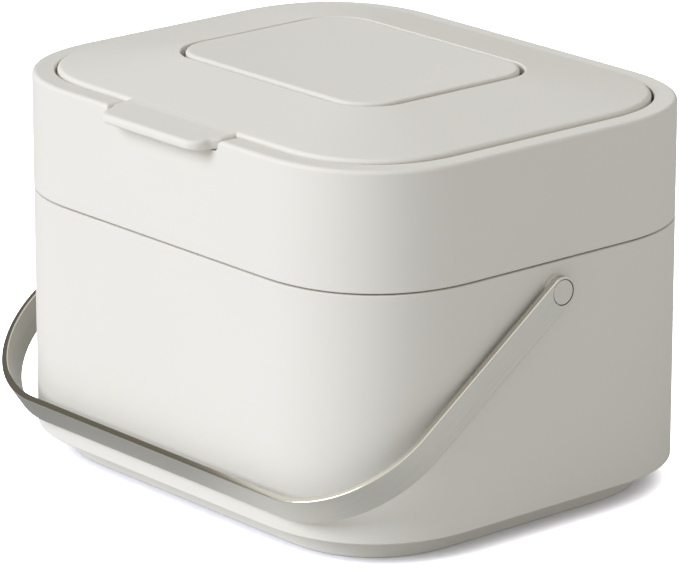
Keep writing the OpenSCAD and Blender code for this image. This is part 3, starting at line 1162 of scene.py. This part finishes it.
@dataclass
class LiftTab:
    """The lift tab: a flat tongue that leaves the lid's front edge in a soft slope."""

    half: float = 34.0
    flare: Point = (95.5, 101.0)
    front_half: float = 31.2
    front: float = 108.0
    corner: float = 7.0
    base: float = 158.7
    top: float = 162.7
    bend: float = 90.9
    slope: float = 0.192
    fall: float = 0.065
    blend: float = 1.2
    root: float = 85.4
    round_over: float = 1.7
    round_under: float = 1.4
    side_chords: int = 28
    corner_chords: int = 14
    round_chords: int = 8

    def height(self, y: float) -> float:
        """Find how high the tab's top is.

        Args:
            y: The distance in front of the caddy's middle.

        Returns:
            The height.
        """
        past = self.bend - y
        flat = self.top + self.fall * (self.front - y)
        steeper = self.slope - self.fall
        if abs(past) < self.blend:
            return flat + steeper * (past + self.blend) ** 2 / (4 * self.blend)
        return flat + steeper * max(0.0, past)

    def outline(self, inset: float) -> list[Point]:
        """List the right half of the tab's plan, from its root to its front.

        Args:
            inset: How far the plan is drawn in.

        Returns:
            Points (x, distance in front of the middle).
        """
        straight, (start, end) = self.front - self.corner, self.flare
        made = []
        for i in range(self.side_chords + 1):
            y = self.root + (straight - self.root) * i / self.side_chords
            share = min(1.0, max(0.0, (y - start) / (end - start)))
            share = share * share * (3 - 2 * share)
            made.append((self.half + (self.front_half - self.half) * share - inset, y))
        centre = (self.front_half - self.corner, straight)
        return made + arc(centre, self.corner - inset, 0, 90, self.corner_chords)[1:]

    def mesh(self) -> Mesh:
        """Build the tab as rings round its plan, closed by rows across it.

        Returns:
            A closed mesh.
        """
        under, over = self.round_under, self.round_over
        rings = [(under + SUPPORT, 0.0, False)]
        for radius, upper, start, end in ((under, False, 270, 180), (over, True, 180, 90)):
            bend = arc((radius, 0.0), radius, start, end, self.round_chords)
            rings += [(inset, radius - abs(rise), upper) for inset, rise in bend]
        rings += [(over + SUPPORT, 0.0, True)]
        half = len(self.outline(0))
        n = 2 * half
        points, faces = [], []
        for inset, rise, upper in rings:
            right = self.outline(inset)
            for x, y in right + [(-x, y) for x, y in reversed(right)]:
                points.append((x, -y, self.height(y) - rise if upper else self.base + rise))
        last = (len(rings) - 1) * n
        for j in range(0, last, n):
            for i in range(n):
                k = (i + 1) % n
                faces.append((j + k, j + i, j + n + i, j + n + k))
        for i in range(half - 1):
            faces.append((i, i + 1, n - 2 - i, n - 1 - i))
            faces.append((last + i + 1, last + i, last + n - 1 - i, last + n - 2 - i))
        return tidied(mesh_of("tab", points, faces))


@dataclass
class Pegs:
    """The four pegs that hold the vent cover, and the sockets that take them."""

    x: float = 53.5
    y: float = 38.5
    radius: float = 2.5
    end: float = 160.0
    core: float = 1.2
    socket: float = 4.55
    bore: float = 2.55
    socket_top: float = 164.5

    def at_corners(self, profile: Sequence[tuple], ends: Ends) -> Mesh:
        """Build a round piece at each of the four places.

        Args:
            profile: (radius, height) or (radius, height, round) of each corner.
            ends: Whether its ends are capped or joined.

        Returns:
            The four pieces.
        """
        places = [((i * self.x, j * self.y, 0.0), ZERO) for i in (-1, 1) for j in (-1, 1)]
        return copied(turned(PLASTIC, profile, ends), PLASTIC, places)

    def pegs(self, top: float) -> Mesh:
        """The pegs, up to a height within the cover's skin."""
        r, core, end = self.radius, self.core, self.end
        return self.at_corners([(core, end), (r, end, 0.4), (r, top), (core, top)], Ends.CAPPED)

    def sockets(self, low: float) -> Mesh:
        """Build the sockets.

        Args:
            low: Where they start, within the lid's skin.

        Returns:
            The four sockets.
        """
        outer, inner, top = self.socket, self.bore, self.socket_top
        profile = [(outer, low), (outer, top, 0.4), (inner, top, 0.4), (inner, low)]
        return self.at_corners(profile, Ends.JOINED)


@dataclass
class Lid:
    """The lid: sloped top, edge, skirt, filter pocket with its vent slots, tab and hinge arms."""

    outlines: Outlines
    hinge: Hinge
    pegs: Pegs
    tab: LiftTab = field(default_factory=LiftTab)
    edge_in: float = 10.2
    edge: float = 164.6
    edge_round: float = 2.0
    edge_chords: int = 12
    skirt: float = 156.0
    skin: float = 2.2
    crest: float = 171.7
    crest_round: float = 0.5
    crest_chords: int = 9
    gap: float = 2.2
    pocket: float = 159.7
    pocket_round: float = 0.6
    pocket_chords: int = 4
    pocket_cap: float = 3.0
    wall_support: Point = (1.4, 0.8)
    slope_angle: float = 10.3
    # Close together at both ends, so that the rounds beside the slope keep their shading
    slope_shares: tuple[float, ...] = (0.008, 0.03, 0.25, 0.5, 0.75, 0.97, 0.992)
    skirt_end: float = 13.5
    trim_half: float = 130.0
    trim_drop: float = 5.0
    slot_w: float = 3.0
    slot_l: float = 20.0
    columns: int = 11
    rows: int = 3
    pitch: float = 8.0
    row_pitch: float = 26.0

    def levels(self) -> list[Level]:
        """List the lid's levels, from under its pocket, round its edge, into the pocket.

        Returns:
            The levels.
        """
        out, inner = -(self.gap + self.skin), self.edge_in + self.skin
        floor, roof = self.pocket - self.skin, self.crest - self.skin
        rows = [
            (inner, floor, out + self.pocket_cap, 1.0),
            (inner, floor, out + SUPPORT, 1.0),
            (inner, floor + SUPPORT, out, 1.0),
            (inner, roof - SUPPORT, out, 1.0),
            (inner, roof, out, 1.0),
            (inner, self.edge - self.skin, out, 0.0),
            (inner, self.skirt, out, 0.0),
            (self.edge_in + SUPPORT, self.skirt, out, 0.0),
            (self.edge_in, self.skirt + SUPPORT, out, 0.0),
        ]
        turn = 90 + self.slope_angle
        centre = (self.edge_in + self.edge_round, self.edge - self.edge_round)
        outside = arc(centre, self.edge_round, 180, turn, self.edge_chords)
        centre = (-self.gap - self.crest_round, self.crest - self.crest_round)
        inside = arc(centre, self.crest_round, turn, 0, self.crest_chords)
        (x, start), (crest_x, end) = outside[-1], inside[0]
        rows += [(outer, z, crest_x, 0.0) for outer, z in outside]
        rows += [(x, start + (end - start) * s, crest_x, s) for s in self.slope_shares]
        rows += [(x, z, crest_x, 1.0) for crest_x, z in inside]
        high, low = self.wall_support
        rows += [(x, z, -self.gap, 1.0) for z in (self.crest - high, self.pocket + low)]
        centre = (-self.gap + self.pocket_round, self.pocket + self.pocket_round)
        foot = arc(centre, self.pocket_round, 180, 270, self.pocket_chords)
        rows += [(x, z, foot_x, 1.0) for foot_x, z in foot]
        rows += [(x, self.pocket, -self.gap + self.pocket_cap, 1.0)]
        return [Level(*row) for row in rows]

    def slots(self) -> Mesh:
        """Build the cutter for the vent slots.

        Returns:
            A closed mesh for each slot, all in one.
        """
        sizes = {
            "Slot Width": self.slot_w,
            "Slot Length": self.slot_l,
            "Slot Depth": 3 * self.skin,
            "Columns": self.columns,
            "Rows": self.rows,
            "Width": (self.columns - 1) * self.pitch,
            "Depth": (self.rows - 1) * self.row_pitch,
            "Height": self.pocket - 2 * self.skin,
        }
        return SLOTS.grow(mesh_of("none", [], []), PLASTIC, sizes)

    def build(self) -> None:
        """Build the lid and dress it."""
        back = self.outlines.depth / 2
        edge = back - self.edge_in
        mesh = self.outlines.shell(PLASTIC, self.levels(), Ends.CAPPED)
        trim = block(
            (-self.trim_half, edge - self.skirt_end, self.skirt - self.trim_drop),
            (self.trim_half, back, self.edge - self.skin),
        )
        mesh = cut(mesh, trim, Cut.REMOVE)
        mesh = cut(mesh, self.tab.mesh(), Cut.ADD)
        for twin in both(self.hinge.arm_mesh(edge, self.edge - self.skin / 2)):
            mesh = cut(mesh, twin, Cut.ADD)
        mesh = cut(mesh, self.slots(), Cut.REMOVE)
        mesh = cut(mesh, self.pegs.sockets(self.pocket - self.skin / 2), Cut.ADD)
        seated(mesh, "lid_shell", "lid", ["lid"], PLASTIC)


@dataclass
class VentCover:
    """The raised vent cover on its four pegs."""

    outlines: Outlines
    pegs: Pegs
    top: float = 172.4
    side: float = 4.4
    skin: float = 2.0
    cap: float = 8.0
    edge_round: float = 1.5
    peg_root: float = 1.0

    def build(self) -> None:
        """Build the cover and dress it."""
        base, under = self.top - self.side, self.top - self.skin
        profile = [
            (self.skin + self.cap, under),
            (self.skin, under, 0.8),
            (self.skin, base, 0.4),
            (0.0, base, 0.4),
            (0.0, self.top, self.edge_round),
            (self.skin + self.cap, self.top),
        ]
        mesh = self.outlines.shell(PLASTIC, opening_levels(rounded(profile)), Ends.CAPPED)
        mesh = cut(mesh, self.pegs.pegs(under + self.peg_root), Cut.ADD)
        name, body = "vent_cover_panel", "vent_cover"
        seated(mesh, name, body, ["vent_cover"], PLASTIC)


@dataclass
class OdourFilter:
    """The carbon pad in the lid's pocket, cut out at its corners for the cover's sockets."""

    outlines: Outlines
    gap: float = 1.9
    low: float = 160.0
    high: float = 165.0
    cap: float = 6.0
    notch: Spot = (48.65, 33.65, 150.0)
    notch_far: Spot = (90.0, 70.0, 180.0)

    def build(self) -> None:
        """Build the pad and dress it."""
        edge, cap, low, high = -self.gap, -self.gap + self.cap, self.low, self.high
        profile = [(cap, low), (edge, low, 1.0), (edge, high, 1.2), (cap, high)]
        mesh = self.outlines.shell(FELT, opening_levels(rounded(profile)), Ends.CAPPED)
        for corner in both(block(self.notch, self.notch_far)):
            for notch in both(corner, (0, 1, 0)):
                mesh = cut(mesh, notch, Cut.REMOVE)
        seated(mesh, "carbon_pad", "lid", ["odour_filter"], FELT)


@dataclass
class Handle:
    """The strap handle: one bent strip with an eye at each end."""

    pivot_y: float = 2.5
    pivot_z: float = 101.7
    inside: float = 122.0
    thick: float = 3.0
    width: float = 13.0
    length: float = 133.2
    bend: float = 48.0
    lean: float = 35.657
    edge: float = 0.6
    head_r: float = 5.4
    head_t: float = 1.6
    shank_r: float = 3.2
    eye_core: float = 2.0
    # How far the cutter for an eye's hole starts off its axis and stands proud of the strip
    over: float = 1.0

    def run(self, x: float, y: float) -> float:
        """Find how far along the strip a point of its plane lies, from the grip's middle.

        Args:
            x: The point's X.
            y: Its distance from the pivots, below zero.

        Returns:
            The distance in millimetres, below zero on the left.
        """
        bend = self.bend - self.thick / 2
        straight = self.inside + self.thick / 2 - bend
        low = -self.length + self.thick / 2 + bend
        side = 1.0 if x > 0 else -1.0
        if abs(x) < straight:
            return x
        if y > low:
            return side * (straight + bend * math.pi / 2 + (y - low))
        return side * (straight + bend * math.atan2(abs(x) - straight, low - y))

    def strip(self) -> Mesh:
        """Build the bent strip, flat in the plane z = 0.

        Returns:
            A closed mesh.
        """
        half, low = self.inside + self.thick / 2, -self.length + self.thick / 2
        path = bpy.data.meshes.new("path")
        corners = [(-half, 0, 0), (-half, low, 0), (half, low, 0), (half, 0, 0)]
        path.from_pydata(corners, [(0, 1), (1, 2), (2, 3)], [])
        sizes = (self.bend - self.thick / 2, self.width, self.thick, self.edge)
        return STRAP.grow(path, STEEL, dict(zip(STRAP_SIZES, sizes)))

    def build(self) -> None:
        """Build the handle and dress it."""
        core, rim, thick, over = self.eye_core, self.width / 2, self.thick, self.over
        seat = thick - self.head_t
        eye = [(core, 0.0), (rim, 0.0, self.edge), (rim, thick, self.edge), (core, thick)]
        hole = [(over, -over), (self.shank_r, -over), (self.shank_r, seat)]
        hole += [(self.head_r, seat), (self.head_r, thick + over), (over, thick + over)]
        signs = [side.value for side in Side]
        ends = [((s * self.inside, 0.0, 0.0), (0.0, s * RIGHT_ANGLE, 0.0)) for s in signs]
        mesh = self.strip()
        for profile, how in ((eye, Cut.ADD), (hole, Cut.REMOVE)):
            tool = turned(STEEL, profile, Ends.CAPPED, EYE_CHORDS)
            mesh = cut(mesh, copied(tool, STEEL, ends), how)
        layer = mesh.uv_layers.get("UVMap") or mesh.uv_layers.new(name="UVMap")
        for loop, spot in zip(mesh.loops, layer.data):
            x, y, z = mesh.vertices[loop.vertex_index].co
            spot.uv = (self.run(x, y), z)
        tilt = Matrix.Rotation(math.radians(self.lean), 4, "X")
        mesh.transform(Matrix.Translation((0, self.pivot_y, self.pivot_z)) @ tilt)
        seated(mesh, "strap_handle", "handle", ["handle"], STEEL)


@dataclass
class Pivots:
    """The handle's pivots: a flush rivet and a spacer washer on each side."""

    y: float = 2.5
    z: float = 101.7
    tail: float = 114.4
    tail_r: float = 4.5
    tail_t: float = 1.8
    shank_r: float = 3.1
    head_r: float = 5.1
    head_t: float = 1.5
    face: float = 125.0
    core: float = 1.5
    spacer_in: float = 120.05
    spacer_out: float = 121.95
    spacer_r: float = 6.5
    spacer_bore: float = 3.2

    def pair(self, finish: Finish, profile: Sequence[tuple], ends: Ends) -> Mesh:
        """Build a round piece on each side, with its axis turned outwards.

        Args:
            finish: Its finish.
            profile: (radius, height) or (radius, height, round) of each corner.
            ends: Whether its ends are capped or joined.

        Returns:
            Both pieces.
        """
        piece = turned(finish, profile, ends, EYE_CHORDS)
        turns = [(0.0, side.value * RIGHT_ANGLE, 0.0) for side in Side]
        return copied(piece, finish, [((0.0, self.y, self.z), turn) for turn in turns])

    def build(self) -> None:
        """Build the rivets and the spacers and dress them."""
        neck, seat = self.tail + self.tail_t, self.face - self.head_t
        rivet = [
            (self.core, self.tail),
            (self.tail_r, self.tail, 1.1),
            (self.tail_r, neck, 0.3),
            (self.shank_r, neck),
            (self.shank_r, seat),
            (self.head_r, seat, 0.15),
            (self.head_r, self.face, 0.35),
            (self.core, self.face),
        ]
        mesh = self.pair(TURNED_STEEL, rivet, Ends.CAPPED)
        nodes = ["handle_rivet_left", "handle_rivet_right"]
        seated(mesh, "handle_rivets", "bucket", nodes, TURNED_STEEL)
        spacer = [
            (self.spacer_r, self.spacer_in, 0.3),
            (self.spacer_r, self.spacer_out, 0.3),
            (self.spacer_bore, self.spacer_out, 0.2),
            (self.spacer_bore, self.spacer_in, 0.2),
        ]
        mesh = self.pair(NYLON, spacer, Ends.JOINED)
        nodes = ["spacer_washer_left", "spacer_washer_right"]
        seated(mesh, "handle_spacers", "bucket", nodes, NYLON)


# Studio


@dataclass
class Studio:
    """A white studio: floor, soft key light from the front left and an even sky."""

    sky: float = 0.465
    sky_colour: str = "#FFFDF9"
    floor_half: float = 8.0
    floor_albedo: float = 0.76
    floor_mirrored: float = 0.1
    # The paper's painted glow in reflections: a ramp along X, and a brighter painted pool of
    # light
    floor_painted_glow: Point = (0.43, 0.8)
    floor_span: Point = (-0.12, 0.25)
    floor_tone: Spot = (0.99, 1.0, 1.07)
    pool_painted_glow: float = 1.0
    pool: Spot = (0.065, -0.104, 0.0)
    pool_reach: float = 0.078
    floor_seen: float = 4.6
    contact: float = 0.021
    contact_samples: int = 16
    contact_span: Point = (0.15, 0.7)
    contact_seen: float = 0.85
    key: float = 2.28
    key_colour: str = "#F2F6FF"
    key_from: Spot = (-0.27, -0.85, 0.5)
    key_angle: float = 34.0
    fill: float = 0.2
    fill_from: Spot = (0.93, 0.1, 0.3)
    fill_angle: float = 80.0
    # The flag is a painted reflection: a sheet that glows grey, which glossy rays alone see
    flag_x: float = -0.3
    flag_y: Point = (-0.45, 0.2)
    flag_z: Point = (0.05, 0.36)
    flag_painted_glow: str = "#77736A"

    def world(self) -> None:
        """Make the sky: white to the camera, to mirrors and through glass, dimmer as a light."""
        world = bpy.data.worlds.new("studio_sky")
        bpy.context.scene.world = world
        world.use_nodes = True
        world.node_tree.nodes.clear()
        add = partial(add_node, world.node_tree)
        ray = add("ShaderNodeLightPath").outputs
        straight = {0: ray["Is Camera Ray"], 1: ray["Is Transmission Ray"]}
        seen = add("ShaderNodeMath", straight, operation="MAXIMUM")
        shown = add("ShaderNodeMath", {0: seen, 1: ray["Is Glossy Ray"]}, operation="MAXIMUM")
        strength = add("ShaderNodeMapRange", {0: shown, 3: self.sky, 4: 1.0})
        tones = {0: seen, 6: linear(self.sky_colour), 7: WHITE}
        colour = add("ShaderNodeMix", tones, data_type="RGBA").outputs[2]
        light = add("ShaderNodeBackground", {"Color": colour, "Strength": strength})
        add("ShaderNodeOutputWorld", {0: light})

    def paper(self, add: Adder) -> Node:
        """Lay out the white paper: a painted contact shadow to the camera, a painted glow in
        mirrors, a plain reflector to other rays.

        Args:
            add: Adds a node to the material.

        Returns:
            The shader.
        """
        ray = add("ShaderNodeLightPath").outputs
        camera, glossy = ray["Is Camera Ray"], ray["Is Glossy Ray"]
        # To glossy rays the paper's colour falls to floor_mirrored, so the painted glow below
        # makes most of what mirrors show
        mirrored = {0: glossy, 3: self.floor_albedo, 4: self.floor_mirrored}
        # Painted contact shadow: to the camera the paper darkens close to the caddy alone, from
        # ambient occlusion
        near = {"Distance": self.contact}
        near = add("ShaderNodeAmbientOcclusion", near, samples=self.contact_samples)
        dark, clear = self.contact_span
        shade = {1: dark, 2: clear, 3: self.contact_seen, 4: self.floor_seen}
        shade = add("ShaderNodeMapRange", {0: near.outputs["AO"], **shade})
        # A little blue against the warm light that the caddy throws on the paper
        cool = {0: self.floor_tone, "Scale": shade}
        cool = add("ShaderNodeVectorMath", cool, operation="SCALE")
        tones = {0: camera, 6: add("ShaderNodeMapRange", mirrored), 7: cool}
        tone = add("ShaderNodeMix", tones, data_type="RGBA", clamp_result=False)
        paper = add("ShaderNodeBsdfDiffuse", {"Color": tone.outputs[2]})
        # Painted reflection: to glossy rays alone the paper glows, dimmer on the flag's side, and
        # brightest in a painted pool of light under the handle's bend
        place = add("ShaderNodeTexCoord").outputs["Object"]
        along = add("ShaderNodeSeparateXYZ", {0: place})
        (left, right), (dim, bright) = self.floor_span, self.floor_painted_glow
        ramp = add("ShaderNodeMapRange", {0: along, 1: left, 2: right, 3: dim, 4: bright})
        away = add("ShaderNodeVectorMath", {0: place, 1: self.pool}, operation="DISTANCE")
        pool = {0: away.outputs["Value"], 2: self.pool_reach, 3: self.pool_painted_glow, 4: ramp}
        pool = add("ShaderNodeMapRange", pool, interpolation_type="SMOOTHSTEP")
        painted_glow = add("ShaderNodeMapRange", {0: glossy, 3: 0.0, 4: pool})
        painted_reflection = add("ShaderNodeEmission", {"Strength": painted_glow})
        return add("ShaderNodeAddShader", {0: paper, 1: painted_reflection})

    def felt(self, add: Adder) -> Node:
        """The flag's even grey glow: a painted reflection, an emission that glossy rays alone
        see.
        """
        # Painted reflection: the grey glows at strength 1 as an emission
        return add("ShaderNodeEmission", {"Color": linear(self.flag_painted_glow)})

    def floor(self) -> None:
        """Make the floor: white to the camera with the caddy's shadow and a painted contact
        shadow, a painted glow in mirrors, paper as a reflector.
        """
        half = self.floor_half
        points = [(-half, -half, 0), (half, -half, 0), (half, half, 0), (-half, half, 0)]
        floor = linked(mesh_of("studio_floor", points, [(0, 1, 2, 3)]))
        floor.data.materials.append(new_material("studio_paper_white", self.paper))

    def flag(self) -> None:
        """Make the dark flag on the left, which only reflections show: a painted reflection that
        glows grey and blocks no light.
        """
        x, (near, far), (low, high) = self.flag_x, self.flag_y, self.flag_z
        points = [(x, near, low), (x, far, low), (x, far, high), (x, near, high)]
        flag = linked(mesh_of("studio_flag", points, [(0, 1, 2, 3)]))
        flag.data.materials.append(new_material("studio_felt_grey", self.felt))
        for ray in ("camera", "diffuse", "transmission", "shadow"):
            setattr(flag, f"visible_{ray}", False)

    def lamp(self, name: str, energy: float, source: Spot, angle: float) -> None:
        """Make a wide soft sun.

        Args:
            name: The lamp's name.
            energy: Its strength.
            source: The direction that it shines from.
            angle: How wide it looks, in degrees.
        """
        data = bpy.data.lights.new(name, "SUN")
        data.energy = energy
        data.color = linear(self.key_colour)[:3]
        data.angle = math.radians(angle)
        lamp = linked(data)
        lamp.rotation_mode = "QUATERNION"
        lamp.rotation_quaternion = Vector(source).to_track_quat("Z", "Y")

    def build(self) -> None:
        """Build the studio."""
        self.world()
        self.floor()
        self.flag()
        self.lamp("key_light", self.key, self.key_from, self.key_angle)
        self.lamp("fill_light", self.fill, self.fill_from, self.fill_angle)
        bpy.context.scene.view_settings.view_transform = "Standard"


@dataclass
class PhotoCamera:
    """The camera at the photograph's place, found from the caddy's edges in the picture."""

    place: Spot = (1.47046, -1.26914, 0.68438)
    target: Spot = (0.0, 0.0, 0.074294)
    roll: float = 0.046
    focal_px: float = 4927.99
    centre_px: Point = (351.318, 287.972)
    sensor: float = 36.0
    clip: Point = (0.05, 60.0)

    def build(self) -> None:
        """Make the camera the scene's own."""
        wide, high = IMAGE_SIZE
        data = bpy.data.cameras.new("photo_camera")
        data.sensor_fit = "HORIZONTAL"
        data.sensor_width = self.sensor
        data.lens = self.focal_px / wide * self.sensor
        data.shift_x = (wide / 2 - self.centre_px[0]) / wide
        data.shift_y = (self.centre_px[1] - high / 2) / wide
        data.clip_start, data.clip_end = self.clip
        camera = linked(data)
        look = Vector(self.target) - Vector(self.place)
        turn = look.to_track_quat("-Z", "Y").to_matrix().to_4x4()
        turn = turn @ Matrix.Rotation(math.radians(self.roll), 4, "Z")
        camera.matrix_world = Matrix.Translation(self.place) @ turn
        bpy.context.scene.camera = camera


def dress_hidden(nodes: dict[str, bpy.types.Object]) -> None:
    """Give the CAD nodes that stay their finish.

    Args:
        nodes: The CAD nodes by name.
    """
    steel = TURNED_STEEL.material()
    for kind in ("keeper_washer", "hinge_pin"):
        for side in Side:
            node = nodes[f"{kind}_{side.name.lower()}"]
            if not node.material_slots:
                node.data.materials.append(steel)
            for slot in node.material_slots:
                slot.material = steel
            LOG.info("%s: CAD node, dressed", node.name)


def main() -> None:
    """Build the caddy in order: camera, studio, mouldings, handle."""
    logging.basicConfig(level=logging.INFO, format="%(name)s %(message)s")
    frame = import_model()
    PhotoCamera().build()
    Studio().build()
    outlines, hinge, pegs = Outlines(), Hinge(), Pegs()
    Bucket(outlines).build()
    Collar(outlines, hinge).build()
    Lid(outlines, hinge, pegs).build()
    VentCover(outlines, pegs).build()
    OdourFilter(outlines).build()
    Handle().build()
    Pivots().build()
    dress_hidden(frame["nodes"])


if __name__ == "__main__":
    main()
